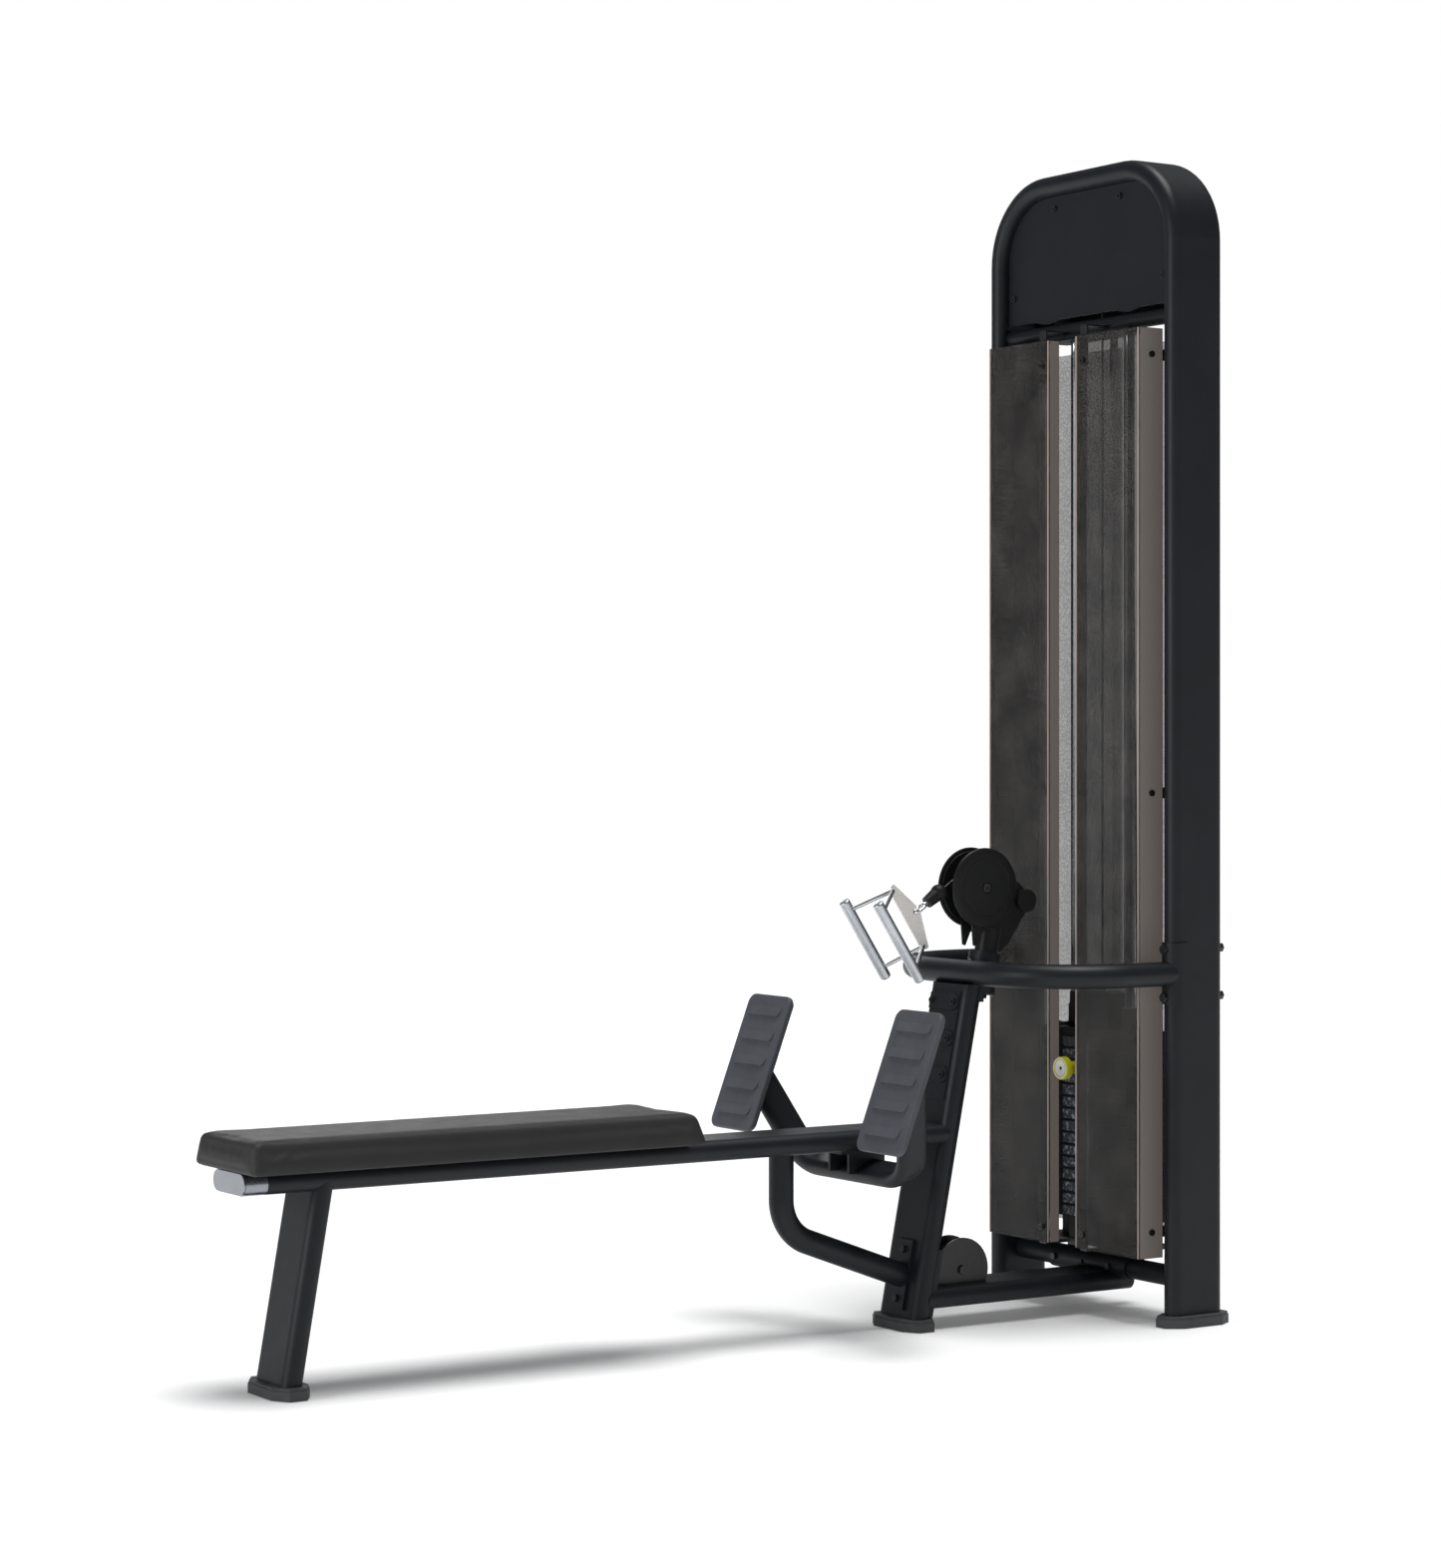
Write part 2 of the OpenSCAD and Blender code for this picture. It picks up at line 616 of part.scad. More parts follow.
module seat_leg_outer() on_seat_leg() translate([0, 0, -40]) linear_extrude(430) oval(oval_w, oval_t);
module seat_leg() placed() color(coat) difference() {
  on_seat_leg() translate([0, 0, -20]) linear_extrude(400) oval_shell(oval_w, oval_t, wall);
  translate([-200, -2000, foot_floor - 60]) cube([400, 400, 60]);
  translate([0, -1950, bench_z]) rotate([-90, 0, 0]) linear_extrude(400) oval(oval_w + 0.6, oval_t);
  translate([-200, -2000, bench_z]) cube([400, 400, 100]);
}

board_h = 10;
board_z = bench_z + oval_t / 2;
pad_bolt_y = [-1840, -1600, -1360, -1120];
module pad_board() placed() color(black) difference() {
  translate([-pad_w / 2 + 12, pad_end_y + 10, board_z]) cube([pad_w - 24, pad_l - 20, board_h]);
  for (y = pad_bolt_y) translate([0, y, board_z - 1]) cylinder(d = 8, h = 20);
}
module seat_pad() placed() color(black) {
  low = board_z + board_h;
  hull() {
    translate([-pad_w / 2, pad_end_y, low]) cube([pad_w, pad_l, 14]);
    translate([-pad_w / 2 + 12, pad_end_y + 6, pad_top - 1]) cube([pad_w - 24, pad_l - 24, 1]);
  }
}

// ---------------------------------------------------------------- tubes

module support_tube() placed() color(coat) {
  t = support_r * tan((90 - support_slope) / 2);
  difference() {
    union() {
      translate([0, support_y, support_z + t]) pipe(round_d, 120, wall);
      translate([0, support_y + support_r, support_z + t]) rotate([90, 0, 90])
        rotate([0, 0, 180]) pipe_bend(round_d, support_r, 90 - support_slope, wall);
      translate([0, support_y, support_z]) rotate([-90 - support_slope, 0, 0])
        translate([0, 0, t]) pipe(round_d, 250, wall);
    }
    leg_outer();
    translate([-100, support_y - 60, bench_z - oval_t / 2]) cube([200, 120, 120]);
    on_leg() translate([-100, -24, -40]) cube([200, 200, 400]);
  }
  on_leg() difference() {
    translate([-25, -26, 34]) cube([50, 6, 136]);
    for (z = [54, 150]) translate([0, -40, z]) y_cylinder(8, 30);
  }
}

module on_footrest() translate([0, footrest_c[0], footrest_c[1]]) rotate([tread_lean, 0, 0]) children();
module footrest_tube() placed() color(coat) difference() {
  turn = 90 - footrest_out;
  t = footrest_r * tan(turn / 2);
  on_footrest() {
    translate([t - footrest_x, 0, 0]) rotate([0, 90, 0]) linear_extrude(2 * (footrest_x - t))
      rotate(90) oval_shell(footrest_w, footrest_t, wall);
    both_sides() {
      translate([footrest_x - t, 0, footrest_r]) rotate([90, 0, 0]) rotate([0, 0, -90])
        rotate_extrude(angle = turn, $fn = 96)
          translate([footrest_r, 0]) rotate(90) oval_shell(footrest_w, footrest_t, wall);
      translate([footrest_x, 0, 0]) rotate([0, footrest_out, 0]) translate([0, 0, t])
        linear_extrude(250) rotate(90) oval_shell(footrest_w, footrest_t, wall);
    }
  }
  on_tread() translate([-700, tread_back - 400, -300]) cube([1400, 400, 800]);
}

module footrest_bracket() placed() color(coat) difference() {
  low = bench_z - oval_t / 2;
  union() {
    translate([-45, -675, low - 6]) cube([90, 130, 6]);
    for (s = [-1, 1]) translate([s * 32 - 3, -650, 312]) cube([6, 84, low - 6 - 312]);
  }
  on_footrest() translate([-100, 0, 0]) rotate([0, 90, 0]) linear_extrude(200)
    rotate(90) oval(footrest_w, footrest_t);
  on_footrest() translate([-100, -100, -100]) cube([200, 200, 100]);
}

// Local -y points out of the tread at the sitter, z runs up the tread
module on_tread() translate([0, tread_c[0], tread_c[1]]) rotate([-tread_lean, 0, 0]) children();
module tread_outline(grow) {
  r = 20 + grow;
  w = tread_w + 2 * grow;
  l = tread_l + 2 * grow;
  square([w - 2 * r, l], center = true);
  square([w, l - 2 * r], center = true);
  for (x = [-1, 1], z = [-1, 1]) translate([x * (w / 2 - r), z * (l / 2 - r)]) circle(r = r);
}
module foot_plates() placed() color(black) both_sides() on_tread()
  translate([tread_x, tread_back, 0]) rotate([90, 0, 0]) linear_extrude(5) tread_outline(-5);
module foot_treads() placed() color(rubber) both_sides() on_tread() translate([tread_x, 0, 0]) {
  translate([0, tread_back - 5, 0]) rotate([90, 0, 0]) linear_extrude(tread_t - 9) tread_outline(0);
  translate([0, 4, 0]) rotate([90, 0, 0]) linear_extrude(2) tread_outline(-2);
  for (z = [-2:2]) translate([-tread_w / 2 + 24, 0, 48 * z - 19]) cube([tread_w - 48, 2, 38]);
}

// ---------------------------------------------------------------- grab rail

module grab_rail() placed() color(coat) difference() {
  union() {
    translate([rail_r - col_x, rail_y, rail_z]) rotate([0, 90, 0])
      pipe(round_d, 2 * (col_x - rail_r), wall);
    both_sides() {
      translate([col_x - rail_r, rail_y + rail_r, rail_z]) rotate([0, 0, -90])
        pipe_bend(round_d, rail_r, 90, wall);
      translate([col_x, rail_y + rail_r, rail_z]) rotate([-90, 0, 0]) pipe(round_d, 120, wall);
    }
  }
  both_sides() translate([col_x, -end_y, 600]) cylinder(r = end_r + 5, h = 200);
}

module rail_clamps() placed() color(coat) both_sides() difference() {
  translate([col_x, -end_y, 631]) linear_extrude(120) difference() {
    union() {
      circle(r = end_r + 5);
      translate([-end_r - 5, 0]) square([2 * end_r + 10, 16]);
    }
    circle(r = end_r);
    translate([-end_r, 0]) square([2 * end_r, 40]);
  }
  for (z = rail_bolt_z) translate([col_x, -100, z]) y_cylinder(10.6, 60);
}

// ---------------------------------------------------------------- swivel

stem_d = 30;
swivel_rim = 56;
swivel_axle_x = 29.5;
knob_c = [-216, 828];
module swivel_housing() placed() color(coat) difference() {
  union() {
    on_riser() {
      translate([0, 0, -92]) cylinder(d = 58, h = 64);
      translate([0, 0, -28]) cylinder(d = 68, h = 18);
    }
    translate([-26, -380, 630]) cube([52, 60, 34]);
  }
  on_riser() translate([0, 0, -140]) cylinder(d = stem_d, h = 180);
  leg_outer();
  x_cylinder(round_d, 200, [rail_y, rail_z]);
}

yoke_x = 17.5;
module yoke_outline() polygon([
  [-340, 742], [-334, 740], [-322, 766], [-306, 772], [-290, 752], [-288, 728], [-274, 728],
  [-252, 745], [-234, 772], [-208, 808], [-201, 828], [-208, 846], [-232, 866], [-262, 900],
  [-316, 910], [-350, 884], [-350, 830], [-344, 790]]);
module swivel_yoke() placed() color(black) difference() {
  union() {
    on_riser() {
      translate([0, 0, -9.9]) cylinder(d = 48, h = 50);
      translate([0, 0, -100]) cylinder(d = stem_d - 0.2, h = 92);
    }
    for (s = [-1, 1]) translate([s * yoke_x - 2, 0, 0]) rotate([90, 0, 90])
      linear_extrude(4) yoke_outline();
  }
  on_riser() translate([0, 0, -140]) cylinder(d = 16, h = 280);
  x_cylinder(12, 60, swivel_c);
  x_cylinder(12, 60, knob_c);
  x_cylinder(2 * swivel_rim + 6, 2 * yoke_x - 4, swivel_c);
}

// Covers either side of the swivel pulley, dished with a raised ring line
module guard_discs() placed() color(black) both_sides()
  translate([0, swivel_c[0], swivel_c[1]]) rotate([0, 90, 0]) rotate_extrude($fn = 128) polygon([
    [6, 19.5], [70, 19.5], [72, 21], [76, 21], [79, 22.5], [79, 24.5], [77, 26.6], [73, 28.2],
    [66, 29.2], [57, 29.6], [56, 29.1], [54.6, 29.1], [53.6, 29.8], [11, 31], [11, 27], [6, 27]]);

module swivel_pulley() placed() color(black)
  translate([0, swivel_c[0], swivel_c[1]]) grooved_pulley(rope_r, swivel_rim);

module swivel_axle() placed() color(black) {
  x_cylinder(12, 56, swivel_c);
  both_sides() translate([swivel_axle_x, 0, 0]) difference() {
    x_cylinder(18, 3, swivel_c);
    translate([1, 0, 0]) x_cylinder(9, 3, swivel_c, $fn = 6);
  }
}

module guide_knob() placed() color(black) {
  x_cylinder(12, 43, knob_c);
  both_sides() translate([26, 0, 0]) x_cylinder(45, 11, knob_c);
}

// ---------------------------------------------------------------- handle

// Cable over the swivel pulley, then the short length that pitches with the pull
wrap_end = 60;
arm_start = 95;
module pulley_cable() placed() color(black) {
  n = [cos(lean_deg), -sin(lean_deg)];
  cable_run([riser_y(riser_top + 1), riser_top + 1], swivel_c + rope_r * n);
  cable_arc(swivel_c, rope_r, -lean_deg, wrap_end + lean_deg);
}
module arm_cable() placed() color(black) cable_arc(swivel_c, rope_r, arm_start, 90 + pull_deg - arm_start);

stop_u = 84;
module pull_cable() placed() color(black) on_pull() translate([0, rope_r, 0.5])
  cylinder(d = cable_d, h = stop_u - 0.5, $fn = 24);
module cable_stop() placed() color(rubber) on_pull() translate([0, rope_r, 0]) difference() {
  union() {
    translate([0, 0, stop_u]) sphere(d = 33);
    translate([0, 0, stop_u]) cylinder(d1 = 30, d2 = 24, h = 34);
  }
  translate([0, 0, stop_u - 30]) cylinder(d = cable_d, h = 30, $fn = 24);
}
module carabiner() placed() color(steel) on_pull() translate([0, rope_r, 0]) {
  wire = 6;
  w = 9;
  top = stop_u + 42;
  translate([0, 0, stop_u + 34]) cylinder(d = 10, h = 8);
  for (e = [[top + w, 0], [hook_u - w, 180]]) translate([0, 0, e[0]]) rotate([-90, 0, 0])
    rotate([0, 0, e[1]]) rotate_extrude(angle = 180) translate([w, 0]) circle(d = wire + 0.1, $fn = 24);
  for (s = [-1, 1]) translate([s * w, 0, top + w - 0.3])
    cylinder(d = wire, h = hook_u - top - 2 * w + 0.6, $fn = 24);
}

plate_u = 180;
plate_t2 = 3.5;
module plate_slab() translate([-plate_t2 / 2, 0, 0]) rotate([90, 0, 90]) linear_extrude(plate_t2)
  polygon([
    [-58, plate_u], [-74, plate_u - 8], [-75, plate_u - 16], [-9, plate_u - 37],
    [9, plate_u - 37], [75, plate_u - 16], [74, plate_u - 8], [58, plate_u]]);
module handle_plate() placed() color(steel) on_pull() translate([0, rope_r, 0]) difference() {
  plate_slab();
  translate([0, 0, hook_u]) rotate([0, 90, 0]) cylinder(d = 7.6, h = 20, center = true);
}
module handle_rods() placed() color(steel) on_pull() translate([0, rope_r, 0]) difference() {
  for (s = [-1, 1], v = [-1, 1]) translate([0, v * 66, plate_u - 8]) {
    a = [s * handle_x, v * 3, handle_u - plate_u + 8];
    rotate([0, 0, atan2(a[1], a[0])]) rotate([0, acos(a[2] / norm(a)), 0]) cylinder(d = 8, h = norm(a));
  }
  plate_slab();
  both_sides() translate([handle_x, 0, handle_u]) rotate([90, 0, 0])
    cylinder(d = grip_d, h = grip_l, center = true);
}
module handle_grips() placed() color(steel) on_pull() translate([0, rope_r, 0]) both_sides()
  translate([handle_x, 0, handle_u]) rotate([90, 0, 0]) {
    translate([0, 0, 3 - grip_l / 2]) cylinder(d = grip_d, h = grip_l - 6);
    for (s = [-1, 1]) translate([0, 0, s * (grip_l / 2 - 1.5)]) cylinder(d = grip_d - 4, h = 3, center = true);
  }

// ---------------------------------------------------------------- assembly

tower_hoop();
rubber_feet();
top_covers();
cross_tubes();
left_shield();
right_shield();
rear_shields();
shield_brackets();
panel_screws();
guide_rods();
stack_base();
stack_bumpers();
resting_plates();
head_plate();
guide_bushes();
lifted_plates();
selector_rod();
cable_clevis();
lift_cable();
lanyard();
selector_pin();
pin_knob();
pulley_brackets();
pulley_axles();
top_pulley();
bottom_pulley();
lower_pulley();
drive_cable();
base_tube();
base_saddle();
frame_bolts();
front_leg();
leg_cover();
bench_tube();
end_cap();
seat_leg();
pad_board();
seat_pad();
support_tube();
footrest_tube();
footrest_bracket();
foot_plates();
foot_treads();
grab_rail();
rail_clamps();
swivel_housing();
swivel_yoke();
guard_discs();
swivel_pulley();
swivel_axle();
guide_knob();
pulley_cable();
arm_cable();
pull_cable();
cable_stop();
carabiner();
handle_plate();
handle_rods();
handle_grips();
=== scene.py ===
import math

import bmesh
import bpy
from mathutils import Matrix, Vector


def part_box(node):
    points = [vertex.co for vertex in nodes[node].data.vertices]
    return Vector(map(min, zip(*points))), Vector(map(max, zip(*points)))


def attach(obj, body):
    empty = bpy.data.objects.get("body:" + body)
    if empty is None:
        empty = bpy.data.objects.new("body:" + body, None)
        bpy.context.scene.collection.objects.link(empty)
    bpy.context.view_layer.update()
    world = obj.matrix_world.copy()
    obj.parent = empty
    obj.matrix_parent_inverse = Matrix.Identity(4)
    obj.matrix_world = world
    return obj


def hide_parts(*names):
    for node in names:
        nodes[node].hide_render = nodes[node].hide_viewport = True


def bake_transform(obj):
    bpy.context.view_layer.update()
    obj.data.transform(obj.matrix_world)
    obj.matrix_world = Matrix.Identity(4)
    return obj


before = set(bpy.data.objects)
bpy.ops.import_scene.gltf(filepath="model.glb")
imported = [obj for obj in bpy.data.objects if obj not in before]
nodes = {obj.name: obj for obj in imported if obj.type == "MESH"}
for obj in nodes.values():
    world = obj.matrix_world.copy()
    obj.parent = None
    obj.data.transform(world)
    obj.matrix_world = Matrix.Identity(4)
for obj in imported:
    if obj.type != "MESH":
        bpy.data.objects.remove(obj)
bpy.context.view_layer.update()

# ---------------------------------------------------------------- camera
# A long lens at chest height, level with the floor, off the bench's right side, looking past
# the foot plates at the tower.
camera_data = bpy.data.cameras.new("camera")
camera_data.sensor_width = 36
camera_data.lens = 82.8
camera_data.shift_y = -0.0277
camera_data.clip_end = 60
camera = bpy.data.objects.new("camera", camera_data)
camera.location = (5.733, -3.6805, 1.146)
camera.rotation_euler = (math.radians(90), 0, math.radians(57.25))
bpy.context.scene.collection.objects.link(camera)
bpy.context.scene.camera = camera

# ---------------------------------------------------------------- floor and lights
# A seamless pale floor under one broad overhead light, with a front fill on the tubes' faces and a
# far panel that skims the tops, while the side nearest the camera stays in its own shade.
def new_material(name):
    """A fresh node material with its Principled shader ready to be wired."""
    material = bpy.data.materials.new(name)
    material.use_nodes = True
    return material, material.node_tree, material.node_tree.nodes["Principled BSDF"]


floor_size = 60
floor_mesh = bpy.data.meshes.new("floor")
floor_mesh.from_pydata(
    [(-floor_size, -floor_size, 0), (floor_size, -floor_size, 0),
     (floor_size, floor_size, 0), (-floor_size, floor_size, 0)], [], [(0, 1, 2, 3)])
floor = bpy.data.objects.new("floor", floor_mesh)
floor.location.z = -0.0006
bpy.context.scene.collection.objects.link(floor)
floor_material, _, floor_shader = new_material("white_floor")
floor_shader.inputs["Base Color"].default_value = (0.9, 0.9, 0.9, 1)
floor_shader.inputs["Roughness"].default_value = 0.9
floor_shader.inputs["Specular IOR Level"].default_value = 0.0
floor_shader.inputs["Emission Color"].default_value = (1, 1, 1, 1)
floor_shader.inputs["Emission Strength"].default_value = 0.10
floor_mesh.materials.append(floor_material)

world = bpy.data.worlds.new("studio")
world.use_nodes = True
bpy.context.scene.world = world
world_nodes, world_links = world.node_tree.nodes, world.node_tree.links
backdrop = world_nodes["Background"]
backdrop.inputs["Color"].default_value = (1, 1, 1, 1)
backdrop.inputs["Strength"].default_value = 1.0
room = world_nodes.new("ShaderNodeBackground")
room.inputs["Color"].default_value = (0.93, 0.96, 1.0, 1)
room.inputs["Strength"].default_value = 0.16
seen = world_nodes.new("ShaderNodeLightPath")
choose = world_nodes.new("ShaderNodeMixShader")
world_links.new(seen.outputs["Is Camera Ray"], choose.inputs[0])
world_links.new(room.outputs[0], choose.inputs[1])
world_links.new(backdrop.outputs[0], choose.inputs[2])
world_links.new(choose.outputs[0], world_nodes["World Output"].inputs["Surface"])


def softbox(name, place, aim, size, watts):
    """A round soft light, turned towards a point."""
    light = bpy.data.lights.new(name, "AREA")
    light.shape = "DISK"
    light.size = size
    light.energy = watts
    lamp = bpy.data.objects.new(name, light)
    lamp.location = place
    lamp.rotation_euler = (Vector(aim) - Vector(place)).to_track_quat("-Z", "Y").to_euler()
    bpy.context.scene.collection.objects.link(lamp)


sky_data = bpy.data.lights.new("overhead", "SUN")
sky_data.energy = 2.8
sky_data.angle = math.radians(30)
sky = bpy.data.objects.new("overhead", sky_data)
sky.rotation_euler = (math.radians(-6), math.radians(5), 0)
bpy.context.scene.collection.objects.link(sky)
softbox("front_fill", (0.2, -6.8, 2.2), (0, 0, 0.9), 2.4, 150)
softbox("far_panel", (-9.0, 3.0, 3.4), (0, 0, 0.5), 5.0, 150)

bpy.context.scene.view_settings.view_transform = "Standard"

# ---------------------------------------------------------------- coated frame
# Flat-oval and round steel tube, welded and powder coated in a blue-black with a fine satin
# texture: the hoop, base, legs, bench beam, foot-plate tube, rail and covers.
def grain(tree, scale, detail=4.0, rough=0.55):
    """Noise in the object's own metres, so the size of the grain is the real one."""
    place = tree.nodes.new("ShaderNodeTexCoord")
    noise = tree.nodes.new("ShaderNodeTexNoise")
    noise.inputs["Scale"].default_value = scale
    noise.inputs["Detail"].default_value = detail
    noise.inputs["Roughness"].default_value = rough
    tree.links.new(place.outputs["Object"], noise.inputs["Vector"])
    return noise.outputs["Fac"]


def between(tree, factor, low, high, start=0.3, end=0.7):
    """Colours or greys spread between two values by a noise."""
    ramp = tree.nodes.new("ShaderNodeValToRGB")
    ramp.color_ramp.elements[0].position = start
    ramp.color_ramp.elements[1].position = end
    for element, value in zip(ramp.color_ramp.elements, (low, high)):
        element.color = (*value, 1) if hasattr(value, "__len__") else (value, value, value, 1)
    tree.links.new(factor, ramp.inputs["Fac"])
    return ramp.outputs["Color"]


def bumped(tree, shader, height, strength, distance):
    """Lets a height reach the shader's normal."""
    bump = tree.nodes.new("ShaderNodeBump")
    bump.inputs["Strength"].default_value = strength
    bump.inputs["Distance"].default_value = distance
    tree.links.new(height, bump.inputs["Height"])
    tree.links.new(bump.outputs["Normal"], shader.inputs["Normal"])


def finish(name, dark, light, rough, fleck=900, cloud=9, bump=0.3, depth=0.0002,
           specular=0.5):
    """A surface with slow colour drift, a fine bump and roughness that wanders with both."""
    material, tree, shader = new_material(name)
    drift = grain(tree, cloud, 5)
    fine = grain(tree, fleck, 3)
    tree.links.new(between(tree, drift, dark, light), shader.inputs["Base Color"])
    tree.links.new(between(tree, grain(tree, cloud * 3), rough * 0.94, min(1, rough * 1.06)),
                   shader.inputs["Roughness"])
    bumped(tree, shader, fine, bump, depth)
    shader.inputs["Specular IOR Level"].default_value = specular
    return material


def dress(material, *names):
    """Gives CAD nodes their finish."""
    for name in names:
        mesh = nodes[name].data
        mesh.materials.clear()
        mesh.materials.append(material)


powder_coat = finish("powder_coat", (0.0065, 0.0076, 0.0102), (0.0090, 0.0105, 0.0138), 0.46,
                     fleck=1100, bump=0.30, depth=0.0002, specular=0.30)
dress(powder_coat, "tower_hoop", "top_covers", "cross_tubes", "base_tube", "base_saddle",
      "front_leg", "leg_cover", "bench_tube", "seat_leg", "support_tube", "footrest_tube",
      "footrest_bracket", "grab_rail", "rail_clamps", "swivel_housing")

# ---------------------------------------------------------------- feet
# Moulded rubber shoes with cut corners that the tubes stand in, a little scuffed and paler than
# the coat above them.
foot_rubber = finish("foot_rubber", (0.045, 0.046, 0.048), (0.062, 0.063, 0.066), 0.72,
                     fleck=700, cloud=25, bump=0.35, depth=0.0003)
dress(foot_rubber, "rubber_feet", "stack_bumpers")

# ---------------------------------------------------------------- shields
# Folded polycarbonate sheet, grained on its face: smoked and half see-through in front, pale and
# frosted behind, with a painted highlight along the folds' front edges and a faint painted glow on
# their sides.
def film(name, dark, light, alpha, rough):
    """Grained see-through sheet: fine specks over a slow mist."""
    material, tree, shader = new_material(name)
    speck = grain(tree, 240, 2, 0.75)
    mist = grain(tree, 12, 5)
    mix = tree.nodes.new("ShaderNodeMath")
    mix.operation = "MULTIPLY_ADD"
    tree.links.new(mist, mix.inputs[0])
    mix.inputs[1].default_value = 0.35
    tree.links.new(speck, mix.inputs[2])
    tree.links.new(between(tree, mix.outputs[0], dark, light, 0.64, 0.78),
                   shader.inputs["Base Color"])
    shader.inputs["Roughness"].default_value = rough
    shader.inputs["Alpha"].default_value = alpha
    shader.inputs["Specular IOR Level"].default_value = 0.3
    bumped(tree, shader, speck, 0.35, 0.0002)
    return material


smoke = film("smoked_panel", (0.008, 0.0076, 0.0072), (0.090, 0.083, 0.077), 0.68, 0.45)
dress(smoke, "left_shield", "right_shield")
frost = film("frosted_panel", (0.42, 0.41, 0.40), (0.72, 0.71, 0.70), 0.52, 0.5)
dress(frost, "rear_shields")


def place_piece(name, mesh, material, body):
    """Links a finished mesh as a piece that rides on a body."""
    piece = bpy.data.objects.new(name, mesh)
    bpy.context.scene.collection.objects.link(piece)
    mesh.materials.clear()
    mesh.materials.append(material)
    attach(piece, body)
    return piece


def bar(bm, low, high):
    """A plain straight-sided bar between two corners."""
    for v in bmesh.ops.create_cube(bm, size=1)["verts"]:
        v.co = Vector((low[i] + (v.co[i] + 0.5) * (high[i] - low[i]) for i in range(3)))


def from_bmesh(name, bm, smooth=False):
    """Turns a finished bmesh into a mesh whose faces point outwards."""
    bmesh.ops.recalc_face_normals(bm, faces=bm.faces)
    mesh = bpy.data.meshes.new(name)
    bm.to_mesh(mesh)
    bm.free()
    for face in mesh.polygons:
        face.use_smooth = smooth
    return mesh


# The thin strips along the smoked sheets' front edges are painted a pale pinkish brown: a painted
# highlight where the folds catch the light.
fold_edge = finish("painted_fold_highlight", (0.40, 0.31, 0.27), (0.52, 0.41, 0.36), 0.35, fleck=500,
                   cloud=4, bump=0.1)
strips, folds = bmesh.new(), bmesh.new()
edge_proud, edge_wide, end_gap = 0.0004, 0.0036, 0.001
short_fold, both_folds = 0.027, 0.088
for name in ("left_shield", "right_shield"):
    low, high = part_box(name)
    for x in (low.x, high.x):
        side = 1 if x == high.x else -1
        inner = x - side * edge_wide
        bar(strips, (min(x, inner), low.y - edge_proud, low.z + end_gap),
            (max(x, inner), low.y + edge_wide * 0.5, high.z - end_gap))
    right_fold = short_fold if name == "left_shield" else both_folds - short_fold
    for x, run in ((high.x, right_fold), (low.x, both_folds - right_fold)):
        out = edge_proud if x == high.x else -edge_proud
        bar(folds, (min(x, x + out), low.y + edge_wide, low.z + end_gap),
            (max(x, x + out), low.y + run - end_gap, high.z - end_gap))
# The folds' sides carry a faint emission: a painted glow that stands in for light passing through
# the sheet and leaving at its folds.
painted_fold_glow, fold_tree, fold_shader = new_material("painted_fold_glow")
fold_tree.links.new(between(fold_tree, grain(fold_tree, 700, 2, 0.7), (0.075, 0.066, 0.060),
                            (0.105, 0.093, 0.086)), fold_shader.inputs["Base Color"])
fold_shader.inputs["Roughness"].default_value = 0.5
fold_shader.inputs["Emission Color"].default_value = (0.088, 0.077, 0.070, 1)
fold_shader.inputs["Emission Strength"].default_value = 0.8
place_piece("shield_folds", from_bmesh("shield_folds", folds), painted_fold_glow, "frame")
place_piece("shield_fold_edges", from_bmesh("shield_fold_edges", strips), fold_edge, "frame")

# ---------------------------------------------------------------- brackets, screws and bolts
# Small bent brackets and pressed fasteners, chemically blacked, slightly oily and smoother than
# the coat.
blacked = finish("blacked_steel", (0.008, 0.008, 0.009), (0.014, 0.014, 0.015), 0.36,
                 fleck=500, cloud=60, bump=0.15)
dress(blacked, "shield_brackets", "panel_screws", "frame_bolts", "pulley_brackets",
      "pulley_axles", "stack_base", "swivel_axle")

# ---------------------------------------------------------------- guide rods and steel parts
# Ground and chromed bar: the guide rods, the drilled selector rod, its clevis, the pin and the
# clip, with faint turning marks.
def bright_steel(name, colour, rough):
    """Polished metal with drawn-out marks round it."""
    material, tree, shader = new_material(name)
    tree.links.new(between(tree, grain(tree, 16), [c * 0.86 for c in colour], colour),
                   shader.inputs["Base Color"])
    place = tree.nodes.new("ShaderNodeTexCoord")
    squeeze = tree.nodes.new("ShaderNodeMapping")
    squeeze.inputs["Scale"].default_value = (1, 1, 14)
    marks = tree.nodes.new("ShaderNodeTexNoise")
    marks.inputs["Scale"].default_value = 260
    tree.links.new(place.outputs["Object"], squeeze.inputs["Vector"])
    tree.links.new(squeeze.outputs["Vector"], marks.inputs["Vector"])
    tree.links.new(between(tree, marks.outputs["Fac"], rough * 0.7, rough * 1.4),
                   shader.inputs["Roughness"])
    bumped(tree, shader, marks.outputs["Fac"], 0.12, 0.0001)
    shader.inputs["Metallic"].default_value = 1.0
    return material


chrome = bright_steel("polished_steel", (0.80, 0.81, 0.84), 0.20)
dress(chrome, "guide_rods", "selector_rod", "cable_clevis", "selector_pin", "carabiner",
      "handle_rods")

# ---------------------------------------------------------------- weight plates
# Cast plates machined flat and painted black; the head block on top carries the rod and two
# nylon guide bushes.
cast_black = finish("cast_black", (0.010, 0.010, 0.011), (0.020, 0.020, 0.022), 0.48,
                    fleck=350, cloud=30, bump=0.35, depth=0.0003)
dress(cast_black, "resting_plates", "lifted_plates", "head_plate")


